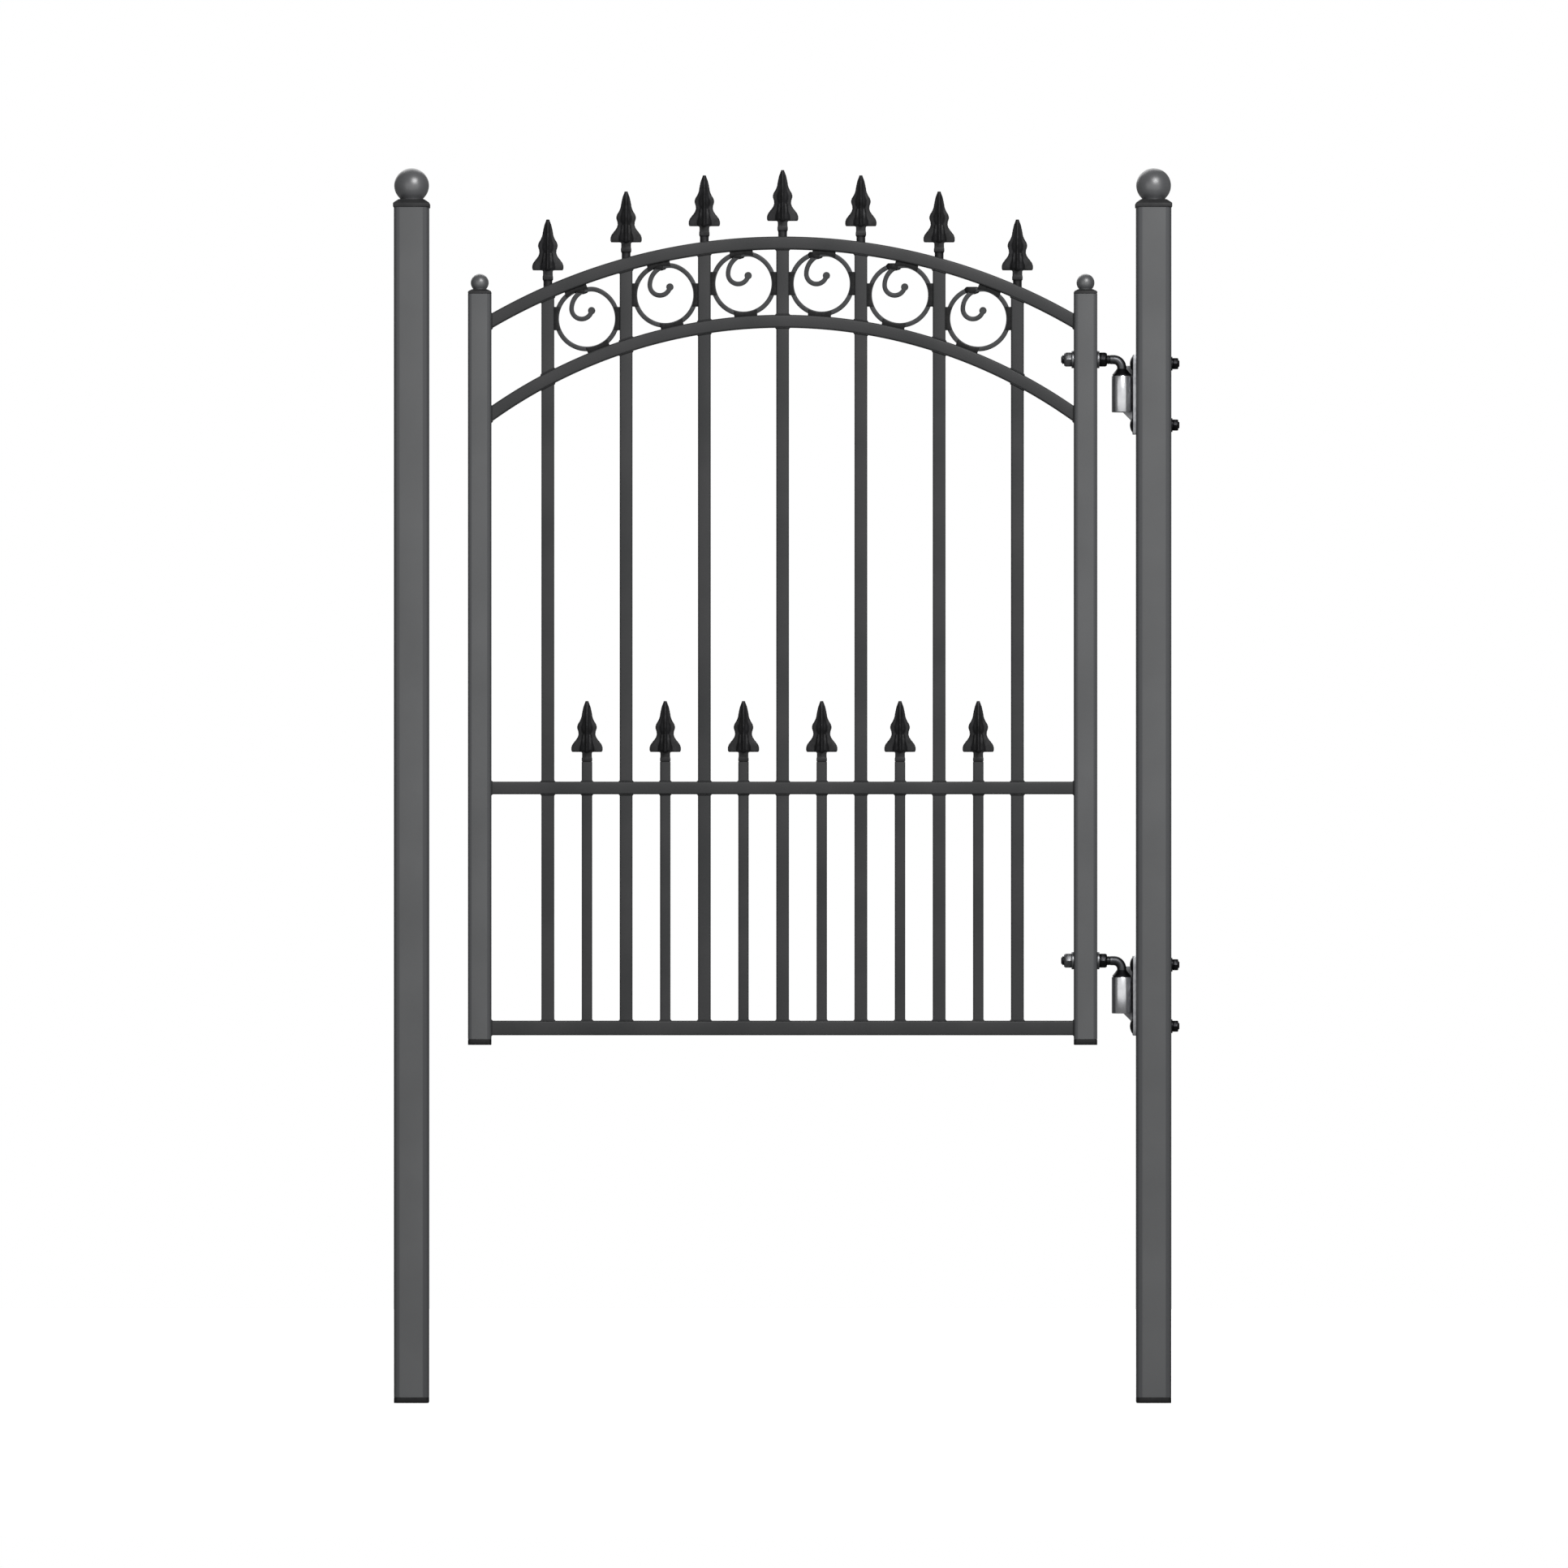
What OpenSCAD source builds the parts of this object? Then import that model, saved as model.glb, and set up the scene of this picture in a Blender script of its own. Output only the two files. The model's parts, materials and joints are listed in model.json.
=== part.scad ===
// Arched steel pedestrian gate: one leaf on two lift-off J-bolt hinges between two square posts.
// Origin: centre of the hinge post's foot. X runs along the fence, away from the leaf; Z is up.

/* [Posts] */
// Width of both square posts
post_w = 60; // [50:1:80]
// Wall of the post tube
post_wall = 2; // [1.5:0.5:4]
// Height of the post tube's top end above the foot
post_top = 2061; // [1960:1:2475]
// Clear opening between the two posts
opening = 1220; // [1080:1:1465]
// Diameter of the ball on a post cap
post_ball_d = 60; // [50:1:72]
// Height of the square base of a post cap
post_cap_h = 12; // [8:1:20]
// How far the base of a post cap stands out past the post
post_cap_lip = 1.4; // [0.5:0.1:3]
// Width of the neck under the ball of a post cap
post_neck_d = 38; // [28:1:42]
// Height of the neck under the ball of a post cap
post_neck_h = 3; // [2:0.5:12]

/* [Leaf frame] */
// Gap between the leaf and each post
leaf_gap = 67.5; // [60:0.5:80]
// Height of the leaf's lowest point
leaf_bottom = 617; // [560:1:640]
// Height of the stile tube's top end
stile_top = 1912; // [1880:1:1960]
// Width of the square stiles
stile_w = 40; // [35:1:45]
// Wall of the stile tube
stile_wall = 1.5; // [1.5:0.5:3]
// Diameter of the ball on a stile cap
stile_ball_d = 31; // [25:1:36]
// Height of the square base of a stile cap
stile_cap_h = 7; // [5:1:10]
// Width of the neck under the ball of a stile cap
stile_neck_d = 22; // [16:1:23]
// Height of the neck under the ball of a stile cap
stile_neck_h = 1.5; // [1.5:0.5:6]

/* [Rails] */
// Height of the mid rail and of both arched rails
rail_h = 22; // [20:1:28]
// How far a rail stands out in front of a picket, and behind it
rail_lip = 2; // [1:0.5:5]
// Wall of every rail
rail_wall = 1.5; // [1:0.25:2]
// Height of the bottom rail
bottom_rail_h = 25; // [20:1:30]
// Height of the bottom rail's middle line
bottom_rail_z = 646; // [645:1:700]
// Height of the mid rail's middle line
mid_rail_z = 1060; // [950:1:1160]
// Radius of the top arch's middle line
arch_r = 1005; // [900:5:1300]
// Height of the top arch's middle line at its crown
crown_z = 2000; // [1980:1:2030]

/* [Pickets] */
// Number of full-height pickets
picket_count = 7; // [5:1:7]
// Distance from a stile to the nearest picket's middle
end_space = 97.5; // [70:0.5:120]
// Width of a full-height picket
picket_w = 22; // [19:0.2:27]
// Width of a short picket
short_w = 18; // [16:1:20]
// Wall of every picket
picket_wall = 1.5; // [1:0.25:1.75]

/* [Spears] */
// Height of a top spear's tip above the top arch's middle line
top_spear_rise = 126; // [122:1:145]
// Height of a low spear's tip above the mid rail's middle line
low_spear_rise = 150; // [140:1:180]
// Width of a spear across its skirt
spear_w = 55; // [45:1:58]
// Thickness of a spear's blades
blade_t = 5; // [4:0.5:7]
// Width of the square socket under a spear
socket_w = 17; // [15:0.5:18]

/* [Scrolls] */
// Width of the scroll bar, in the plane of the gate
scroll_bar = 8; // [6:0.5:9]
// Depth of the scroll bar, front to back
scroll_d = 12; // [8:1:20]
// Diameter of the thick end of a scroll's curl
scroll_end_d = 12.6; // [9:0.2:14]

/* [Hinges] */
// How far the upper hinge arm is above the middle of the gap between the arches
upper_arm_lift = 13.7; // [-10:0.1:20]
// Height of the lower hinge arm
lower_arm_z = 762; // [720:1:800]
// Diameter of a J-bolt
rod_d = 16; // [12:1:16]
// Radius of a J-bolt's bend, to the middle of the rod
bend_r = 14; // [12:1:18]
// Outside diameter of a barrel
barrel_d = 34.5; // [30:0.1:41.5]
// Drop from the hinge arm to the barrel's top
barrel_drop = 28; // [26:1:34]
// Length of a barrel
barrel_len = 63; // [50:1:75]
// Radial play of the J-bolt in its barrel
barrel_play = 0.08; // [0.02:0.01:0.1]
// Height of the collar that carries the leaf on the barrel
collar_h = 12; // [8:1:14]
// Diameter of the collar's seat on the barrel
collar_d = 32; // [26:1:34]
// Thickness of a hinge plate
plate_t = 6; // [4:1:7]
// Drop from the hinge arm to the plate's upper bolt
bolt_drop = 7; // [5:1:10]
// Distance between a plate's two bolts
bolt_pitch = 106; // [100:1:120]

/* [Fasteners] */
// Width across the flats of a J-bolt nut
rod_nut_af = 24; // [22:1:27]
// Height of a J-bolt nut
rod_nut_h = 13; // [10:0.5:15]
// Diameter of a J-bolt washer
rod_washer_d = 30; // [28:1:34]
// Thickness of a J-bolt washer
rod_washer_t = 4; // [2:0.5:5]
// Diameter of a plate bolt
bolt_d = 12; // [10:1:12]
// Diameter of a plate bolt's domed head
bolt_head_d = 26; // [22:1:28]
// Height of a plate bolt's domed head
bolt_head_h = 5; // [4:0.5:6]
// Width across the flats of a plate nut
nut_af = 19; // [17:1:21]
// Height of a plate nut
nut_h = 10; // [8:0.5:12]
// Diameter of a plate washer
washer_d = 24; // [22:1:28]
// Thickness of a plate washer
washer_t = 2.5; // [1.5:0.5:3]

/* [Clearances] */
// Gap around a picket or shank in its punched hole
punch_gap = 0.2; // [0.1:0.05:0.3]
// Gap around a bolt in its drilled hole
drill_gap = 0.5; // [0.3:0.1:0.8]
// Gap between a nut or washer and its bolt
thread_gap = 0.1; // [0.05:0.05:0.2]
// Gap around a cap or plug in its tube
plug_gap = 0.2; // [0.1:0.05:0.4]
// Play of a top spear's shank in its picket
top_shank_play = 1.75; // [0.5:0.25:3]
// Play of a low spear's shank in its short picket
low_shank_play = 1.25; // [0.5:0.25:3]
// Gap that the weld fills round a scroll
weld_gap = 0.1; // [0.05:0.05:0.3]
// Gap that the weld fills between a barrel and its plate
barrel_gap = 1.75; // [0.5:0.25:3]
// Gap between a collar and its barrel
seat_gap = 0.1; // [0.05:0.05:0.3]

/* [Hidden] */
$fn = 48;
slack = 1;                        // how far a cut runs past the face it leaves
corner_steps = 4;                 // sides in the rounded corner of a tube
post_corner = 7;
stile_corner = 5;
rail_corner = 3;
picket_corner = 3;
inner_corner = 0.5;               // least radius of a corner inside a tube
plug_flange = 10;                 // visible band of a foot plug
plug_depth = 25;                  // how far a plug or cap reaches into its tube
plug_wall = 3;
ball_wall = 3;
thread_end = 2;                   // length of a bolt past its nut

// Places along X and Z that follow from the sizes above
face_x = -post_w / 2;
axis_x = face_x - plate_t - barrel_gap - barrel_d / 2;
leaf_x = face_x - opening / 2;
closing_post_x = 2 * leaf_x;
leaf_w = opening - 2 * leaf_gap;
hinge_stile_x = leaf_x + leaf_w / 2 - stile_w / 2;
closing_stile_x = leaf_x - leaf_w / 2 + stile_w / 2;
inner_w = leaf_w - 2 * stile_w;
picket_pitch = (inner_w - 2 * end_space) / (picket_count - 1);
arch_z = crown_z - arch_r;        // height of the arches' common centre
ring_room = picket_pitch - picket_w;      // clear width between pickets, and between arches
low_arch_r = arch_r - ring_room - rail_h;
ring_d = ring_room - 2 * weld_gap;
rail_d = picket_w + 2 * rail_lip;
top_shank_d = picket_w - 2 * picket_wall - 2 * top_shank_play;
low_shank_d = short_w - 2 * picket_wall - 2 * low_shank_play;
mid_picket = (picket_count + 1) / 2;
stile_face_x = leaf_x + inner_w / 2;
upper_arm_z = (arch_height(arch_r, stile_face_x) + arch_height(low_arch_r, stile_face_x)) / 2
    + upper_arm_lift;
bottom_rail_top = bottom_rail_z + bottom_rail_h / 2;

// Spear sizes along its height, measured down from the tip
skirt_drop = 88;
socket_drop = 105;
socket_start = 60;
top_shank_grip = 20;              // length of shank inside a picket
low_shank_grip = 30;

// The angle plate of a hinge
plate_over = 8;                   // plate above the arm
plate_end = 16;                   // plate below the lower bolt
plate_front = 20;
web_t = 5;
web_top = 10;                     // drop from the arm to the web's top edge
web_short = 3;                    // how far the web stops short of the hinge axis
web_reach = barrel_gap + barrel_d / 2 - web_short;
neck_w = bolt_d + 0.6;            // square neck under a domed head
collar_rise = 0.6;                // how far a collar's top edge stands out from the rod

function picket_x(i) = leaf_x + (i - mid_picket) * picket_pitch;
function arch_height(r, x) = arch_z + sqrt(r * r - (x - leaf_x) * (x - leaf_x));
function arc(cx, cy, r, a0, a1, n) =
    [for (k = [0:n]) let (a = a0 + (a1 - a0) * k / n) [cx + r * cos(a), cy + r * sin(a)]];

// ---- shapes that repeat ----

module rounded_rect(w, d, r) {
    polygon([for (q = [0:3])
        let (sx = (q == 0 || q == 3) ? 1 : -1, sy = q < 2 ? 1 : -1)
        each arc(sx * (w / 2 - r), sy * (d / 2 - r), r, 90 * q, 90 * q + 90, corner_steps)]);
}

module tube_section(w, d, wall, r) {
    difference() {
        rounded_rect(w, d, r);
        rounded_rect(w - 2 * wall, d - 2 * wall, max(r - wall, inner_corner));
    }
}

module upright(x, w, wall, r, z0, z1) {
    translate([x, 0, z0]) linear_extrude(z1 - z0) tube_section(w, w, wall, r);
}

module level_rail(z, h) {
    translate([leaf_x - inner_w / 2, 0, z]) rotate([90, 0, 90])
        linear_extrude(inner_w) tube_section(rail_d, h, rail_wall, rail_corner);
}

module arch_rail(r) {
    half = asin(min(0.98, (inner_w / 2 + 2 * rail_h) / (r - rail_h)));
    intersection() {
        translate([leaf_x, 0, arch_z]) rotate([90, 0, 0]) rotate([0, 0, 90 - half])
            rotate_extrude(angle = 2 * half, $fn = 180)
                translate([r, 0]) tube_section(rail_h, rail_d, rail_wall, rail_corner);
        translate([leaf_x, 0, crown_z]) cube([inner_w, 2 * rail_d, 2 * arch_r], center = true);
    }
}

module square_hole(x, z0, z1, w) {
    translate([x - w / 2, -w / 2, z0]) cube([w, w, z1 - z0]);
}

module rod_x(x0, x1, z, r) {
    translate([x0, 0, z]) rotate([0, 90, 0]) cylinder(h = x1 - x0, r = r);
}

module nut_x(x, z, af, h, bore) {
    translate([x, 0, z]) rotate([0, 90, 0]) difference() {
        cylinder(h = h, r = af / 2 / cos(30), $fn = 6);
        translate([0, 0, -slack]) cylinder(h = h + 2 * slack, r = bore);
    }
}

module washer_x(x, z, d, t, bore) {
    translate([x, 0, z]) rotate([0, 90, 0]) difference() {
        cylinder(h = t, r = d / 2);
        translate([0, 0, -slack]) cylinder(h = t + 2 * slack, r = bore);
    }
}

// The part of a cap or plug that fills its tube
module spigot(w, wall, corner, len) {
    side = w - 2 * wall - 2 * plug_gap;
    linear_extrude(len) rounded_rect(side, side, max(corner - wall, inner_corner));
}

module ball_cap(x, z, w, wall, corner, h, lip, ball_d, neck_d, neck_h) {
    rise = sqrt(ball_d * ball_d - neck_d * neck_d) / 2;
    bore = neck_d / 2 - ball_wall;
    translate([x, 0, z]) difference() {
        union() {
            linear_extrude(h) rounded_rect(w + 2 * lip, w + 2 * lip, corner);
            translate([0, 0, h - slack]) cylinder(h = neck_h + 2 * slack, r = neck_d / 2);
            translate([0, 0, h + neck_h + rise]) sphere(r = ball_d / 2);
            translate([0, 0, -plug_depth]) spigot(w, wall, corner, plug_depth + slack);
        }
        translate([0, 0, h + neck_h + rise]) sphere(r = ball_d / 2 - ball_wall);
        translate([0, 0, -plug_depth - slack])
            cylinder(h = plug_depth + h + neck_h + rise, r = bore);
    }
}

module foot_plug(x, z, w, wall, corner) {
    cup_w = w - 2 * wall - 2 * plug_wall;
    translate([x, 0, z]) difference() {
        union() {
            linear_extrude(plug_flange) rounded_rect(w, w, corner);
            translate([0, 0, plug_flange - slack]) spigot(w, wall, corner, plug_depth);
        }
        translate([0, 0, plug_flange / 2]) linear_extrude(plug_flange + plug_depth)
            rounded_rect(cup_w, cup_w, max(corner - wall - plug_wall, inner_corner));
    }
}

// ---- posts ----

module post(x) {
    color("#5c5c5e") upright(x, post_w, post_wall, post_corner, plug_flange, post_top);
}

module hinge_post() {
    color("#5c5c5e") difference() {
        post(0);
        for (z = [upper_arm_z, lower_arm_z], drop = [bolt_drop, bolt_drop + bolt_pitch])
            rod_x(-post_w, post_w, z - drop, bolt_d / 2 + drill_gap);
    }
}

module post_cap(x) {
    color("#3a3a3c") ball_cap(x, post_top, post_w, post_wall, post_corner, post_cap_h,
        post_cap_lip, post_ball_d, post_neck_d, post_neck_h);
}

module post_plug(x) {
    color("#2a2a2b") foot_plug(x, 0, post_w, post_wall, post_corner);
}

// ---- leaf frame ----

module hinge_stile() {
    color("#5a5a5c") difference() {
        upright(hinge_stile_x, stile_w, stile_wall, stile_corner,
            leaf_bottom + plug_flange, stile_top);
        for (z = [upper_arm_z, lower_arm_z])
            rod_x(hinge_stile_x - stile_w, hinge_stile_x + stile_w, z, rod_d / 2 + drill_gap);
    }
}

module closing_stile() {
    color("#5a5a5c") upright(closing_stile_x, stile_w, stile_wall, stile_corner,
        leaf_bottom + plug_flange, stile_top);
}

module stile_cap(x) {
    color("#3a3a3c") ball_cap(x, stile_top, stile_w, stile_wall, stile_corner, stile_cap_h,
        0, stile_ball_d, stile_neck_d, stile_neck_h);
}

module stile_plug(x) {
    color("#2a2a2b") foot_plug(x, leaf_bottom, stile_w, stile_wall, stile_corner);
}

module top_arch_rail() {
    color("#3e3e40") difference() {
        arch_rail(arch_r);
        for (i = [1:picket_count]) {
            z = arch_height(arch_r, picket_x(i));
            square_hole(picket_x(i), z - 2 * rail_h, z, picket_w + 2 * punch_gap);
            translate([picket_x(i), 0, z])
                cylinder(h = 2 * rail_h, r = top_shank_d / 2 + punch_gap);
        }
    }
}

module lower_arch_rail() {
    color("#3e3e40") difference() {
        arch_rail(low_arch_r);
        for (i = [1:picket_count]) {
            z = arch_height(low_arch_r, picket_x(i));
            square_hole(picket_x(i), z - 2 * rail_h, z + 2 * rail_h, picket_w + 2 * punch_gap);
        }
    }
}

module mid_rail() {
    color("#3e3e40") difference() {
        level_rail(mid_rail_z, rail_h);
        for (i = [1:picket_count])
            square_hole(picket_x(i), mid_rail_z - rail_h, mid_rail_z + rail_h,
                picket_w + 2 * punch_gap);
        for (i = [1:picket_count - 1])
            square_hole(picket_x(i + 0.5), mid_rail_z - rail_h, mid_rail_z + rail_h,
                short_w + 2 * punch_gap);
    }
}

module bottom_rail() {
    color("#3e3e40") level_rail(bottom_rail_z, bottom_rail_h);
}

// ---- pickets, spears and scrolls ----

function picket_top(i) =
    let (edge = leaf_x + abs(picket_x(i) - leaf_x) + picket_w / 2)
    arch_height(arch_r + rail_h / 2 - rail_wall, edge) - punch_gap;

module picket(i) {
    color("#38383a") upright(picket_x(i), picket_w, picket_wall, picket_corner,
        bottom_rail_top, picket_top(i));
}

module short_picket(i) {
    color("#38383a") upright(picket_x(i + 0.5), short_w, picket_wall, picket_corner,
        bottom_rail_top, mid_rail_z + low_spear_rise - socket_drop);
}

// Half of a blade's outline: distance out from the middle as a share of the skirt, drop from the tip
blade_half = [[0.07, 0], [0.16, 4], [0.25, 12], [0.31, 20], [0.38, 29], [0.48, 37], [0.61, 45],
    [0.62, 50], [0.54, 57], [0.63, 62], [0.78, 66], [0.88, 71], [0.94, 75], [1, 84],
    [1, skirt_drop]];

// Outline of a spear's turned core: radius, height from the tip
core_half = [[0, -2], [3.4, -6], [5.4, -20], [6.6, -36], [7.4, -48], [6.4, -56], [7.2, -64],
    [0, -64]];

module blade() {
    right = [for (p = blade_half) [p[0] * spear_w / 2, -p[1]]];
    left = [for (k = [len(right) - 1:-1:0]) [-right[k][0], right[k][1]]];
    translate([0, blade_t / 2, 0]) rotate([90, 0, 0])
        linear_extrude(blade_t) polygon(concat(right, left));
}

module spear(x, tip_z, shank_d, shank_len) {
    translate([x, 0, tip_z]) union() {
        blade();
        rotate([0, 0, 90]) blade();
        rotate_extrude() polygon(core_half);
        translate([-socket_w / 2, -socket_w / 2, -socket_drop])
            cube([socket_w, socket_w, socket_drop - socket_start]);
        translate([0, 0, -socket_drop - shank_len]) cylinder(h = shank_len + slack, r = shank_d / 2);
    }
}

module top_spear(i) {
    tip_z = arch_height(arch_r, picket_x(i)) + top_spear_rise;
    color("#242425") spear(picket_x(i), tip_z, top_shank_d,
        tip_z - socket_drop - picket_top(i) + top_shank_grip);
}

module low_spear(i) {
    color("#242425") spear(picket_x(i + 0.5), mid_rail_z + low_spear_rise, low_shank_d,
        low_shank_grip);
}

// Middle line of a scroll: a ring that leaves its own circle near the top and curls in to the left
ring_r = ring_d / 2 - scroll_bar / 2;
curl_r = 0.65 * ring_r;
hook_r = 0.333 * ring_r;
leave_a = 66;                     // angle at which the bar leaves the ring
ring_end_a = 116;                 // angle at which the bar's free end meets the ring again
hook_end_a = 350;                 // angle of the thick end on the hook's own circle
ring_step = 6;                    // degrees from one point of an outline to the next
hook_step = 10;
curl_c = (ring_r - curl_r) * [cos(leave_a), sin(leave_a)];
hook_c = curl_c - [curl_r - hook_r, 0];

module scroll_outline() {
    half = scroll_bar / 2;
    ring_steps = round((360 + leave_a - ring_end_a) / ring_step);
    curl_steps = round((180 - leave_a) / ring_step);
    hook_steps = round((hook_end_a - 180) / hook_step);
    polygon(concat(
        arc(0, 0, ring_r + half, ring_end_a, leave_a + 360, ring_steps),
        arc(curl_c[0], curl_c[1], curl_r + half, leave_a + ring_step, 180, curl_steps - 1),
        arc(hook_c[0], hook_c[1], hook_r + half, 180 + hook_step, hook_end_a, hook_steps - 1),
        arc(hook_c[0], hook_c[1], hook_r - half, hook_end_a, 180, hook_steps),
        arc(curl_c[0], curl_c[1], curl_r - half, 180 - ring_step, leave_a, curl_steps - 1),
        arc(0, 0, ring_r - half, leave_a + 360 - ring_step, ring_end_a, ring_steps - 1)));
    translate(hook_c + hook_r * [cos(hook_end_a), sin(hook_end_a)])
        circle(r = scroll_end_d / 2);
}

module scroll(i) {
    x = picket_x(i + 0.5);
    mid_r = (arch_r + low_arch_r) / 2;
    color("#333335") translate([x, scroll_d / 2, arch_height(mid_r, x)]) rotate([90, 0, 0])
        linear_extrude(scroll_d) scroll_outline();
}

// ---- hinges ----

module hinge_plate(z) {
    plate_x = face_x - plate_t;
    web_y = barrel_d / 2 + weld_gap;
    low = bolt_drop + bolt_pitch + plate_end;
    web_low = barrel_drop + barrel_len;
    color("#8c8d90") difference() {
        union() {
            translate([plate_x, -plate_front, z - low])
                cube([plate_t, plate_front + web_y + web_t, plate_over + low]);
            translate([plate_x + slack, web_y + web_t, z]) rotate([90, 0, 0])
                linear_extrude(web_t) polygon([[0, -web_top], [-web_reach - slack, -web_top],
                    [-web_reach - slack, -web_low], [0, -web_low - web_reach]]);
        }
        for (drop = [bolt_drop, bolt_drop + bolt_pitch])
            translate([plate_x - slack, -neck_w / 2 - punch_gap, z - drop - neck_w / 2 - punch_gap])
                cube([plate_t + 2 * slack, neck_w + 2 * punch_gap, neck_w + 2 * punch_gap]);
    }
}

module hinge_barrel(z) {
    color("#b9bbbe") translate([axis_x, 0, z - barrel_drop - barrel_len]) difference() {
        cylinder(h = barrel_len, r = barrel_d / 2);
        translate([0, 0, -slack])
            cylinder(h = barrel_len + 2 * slack, r = rod_d / 2 + barrel_play);
    }
}

module j_bolt(z) {
    tip_len = 3;
    leg_len = barrel_drop + barrel_len - bend_r;
    arm_end = hinge_stile_x - stile_w / 2 - rod_washer_t - rod_nut_h - thread_end;
    color("#4a4a4c") union() {
        rod_x(arm_end, axis_x - bend_r, z, rod_d / 2);
        translate([arm_end, 0, z]) rotate([0, -90, 0])
            cylinder(h = tip_len, r1 = rod_d / 2, r2 = rod_d / 2 - tip_len);
        translate([axis_x - bend_r, 0, z - bend_r]) rotate([90, 0, 0])
            rotate_extrude(angle = 90) translate([bend_r, 0]) circle(r = rod_d / 2);
        translate([axis_x, 0, z - bend_r - leg_len]) cylinder(h = leg_len, r = rod_d / 2);
        translate([axis_x, 0, z - barrel_drop + seat_gap])
            cylinder(h = collar_h - seat_gap, r1 = collar_d / 2, r2 = rod_d / 2 + collar_rise);
    }
}

module j_bolt_washers() {
    color("#77787a") for (z = [upper_arm_z, lower_arm_z], side = [-1, 1])
        washer_x(hinge_stile_x + side * (stile_w + rod_washer_t) / 2 - rod_washer_t / 2, z,
            rod_washer_d, rod_washer_t, rod_d / 2 + thread_gap);
}

module j_bolt_nuts() {
    color("#2e2e30") for (z = [upper_arm_z, lower_arm_z], side = [-1, 1])
        nut_x(hinge_stile_x + side * (stile_w / 2 + rod_washer_t + rod_nut_h / 2) - rod_nut_h / 2,
            z, rod_nut_af, rod_nut_h, rod_d / 2 + thread_gap);
}

module plate_bolt(z) {
    head_x = face_x - plate_t;
    dome_r = (bolt_head_d * bolt_head_d / 4 + bolt_head_h * bolt_head_h) / (2 * bolt_head_h);
    end_x = post_w / 2 + washer_t + nut_h + thread_end;
    rod_x(head_x, end_x, z, bolt_d / 2);
    translate([head_x, -neck_w / 2, z - neck_w / 2]) cube([plate_t, neck_w, neck_w]);
    intersection() {
        translate([head_x - bolt_head_h + dome_r, 0, z]) sphere(r = dome_r);
        translate([head_x - 2 * bolt_head_h, -bolt_head_d, z - bolt_head_d])
            cube([2 * bolt_head_h, 2 * bolt_head_d, 2 * bolt_head_d]);
    }
}

module plate_bolts() {
    color("#2e2e30") for (z = [upper_arm_z, lower_arm_z], drop = [bolt_drop, bolt_drop + bolt_pitch])
        plate_bolt(z - drop);
}

module plate_washers() {
    color("#2e2e30") for (z = [upper_arm_z, lower_arm_z], drop = [bolt_drop, bolt_drop + bolt_pitch])
        washer_x(post_w / 2, z - drop, washer_d, washer_t, bolt_d / 2 + thread_gap);
}

module plate_nuts() {
    color("#2e2e30") for (z = [upper_arm_z, lower_arm_z], drop = [bolt_drop, bolt_drop + bolt_pitch])
        nut_x(post_w / 2 + washer_t, z - drop, nut_af, nut_h, bolt_d / 2 + thread_gap);
}

hinge_post();
post(closing_post_x);  // closing_post
post_cap(0);  // hinge_post_ball_cap
post_cap(closing_post_x);  // closing_post_ball_cap
post_plug(0);  // hinge_post_foot_plug
post_plug(closing_post_x);  // closing_post_foot_plug
hinge_plate(upper_arm_z);  // upper_hinge_plate
hinge_plate(lower_arm_z);  // lower_hinge_plate
hinge_barrel(upper_arm_z);  // upper_hinge_barrel
hinge_barrel(lower_arm_z);  // lower_hinge_barrel
plate_bolts();
plate_washers();
plate_nuts();
hinge_stile();
closing_stile();
stile_cap(hinge_stile_x);  // hinge_stile_ball_cap
stile_cap(closing_stile_x);  // closing_stile_ball_cap
stile_plug(hinge_stile_x);  // hinge_stile_foot_plug
stile_plug(closing_stile_x);  // closing_stile_foot_plug
top_arch_rail();
lower_arch_rail();
mid_rail();
bottom_rail();
j_bolt(upper_arm_z);  // upper_j_bolt
j_bolt(lower_arm_z);  // lower_j_bolt
j_bolt_washers();
j_bolt_nuts();
for (i = [1:picket_count]) {
    picket(i);
    top_spear(i);
}
for (i = [1:picket_count - 1]) {
    short_picket(i);
    low_spear(i);
    scroll(i);
}
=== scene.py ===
"""A steel garden gate: an arched leaf on two J-bolt hinges between two square posts.

Lengths are metres. X runs along the fence towards the hinge post, Z is up, and the gate is seen
from the -Y side. Every tube, arch, spear, scroll, cap, plug, weld and hinge fitting is modelled
here, on the place and size that the frame gives its node.
"""

import json
from math import asin, atan2, cos, pi, radians, sin, sqrt

import bmesh
import bpy
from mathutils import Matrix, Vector


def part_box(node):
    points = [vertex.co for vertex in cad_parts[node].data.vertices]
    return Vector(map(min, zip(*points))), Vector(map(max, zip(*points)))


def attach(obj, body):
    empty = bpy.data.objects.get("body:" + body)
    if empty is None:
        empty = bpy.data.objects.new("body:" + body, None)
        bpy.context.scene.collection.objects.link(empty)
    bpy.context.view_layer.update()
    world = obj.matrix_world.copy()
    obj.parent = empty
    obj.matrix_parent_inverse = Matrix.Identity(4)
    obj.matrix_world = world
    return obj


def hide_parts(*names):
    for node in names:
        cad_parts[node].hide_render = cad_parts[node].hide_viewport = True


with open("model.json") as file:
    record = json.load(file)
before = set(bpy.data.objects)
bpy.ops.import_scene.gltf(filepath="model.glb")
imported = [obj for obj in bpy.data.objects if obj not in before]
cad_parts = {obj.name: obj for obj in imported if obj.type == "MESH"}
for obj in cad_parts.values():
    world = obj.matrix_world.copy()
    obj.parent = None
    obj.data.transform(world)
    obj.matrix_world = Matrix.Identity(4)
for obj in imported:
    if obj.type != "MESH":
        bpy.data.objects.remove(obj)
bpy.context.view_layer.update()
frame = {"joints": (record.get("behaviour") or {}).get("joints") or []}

# Hinge fittings. Drops, tops and lows are measured down from the arm of the J-bolt
HINGE_X = frame["joints"][0]["pos_m"][0]
ROD = 0.016
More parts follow.
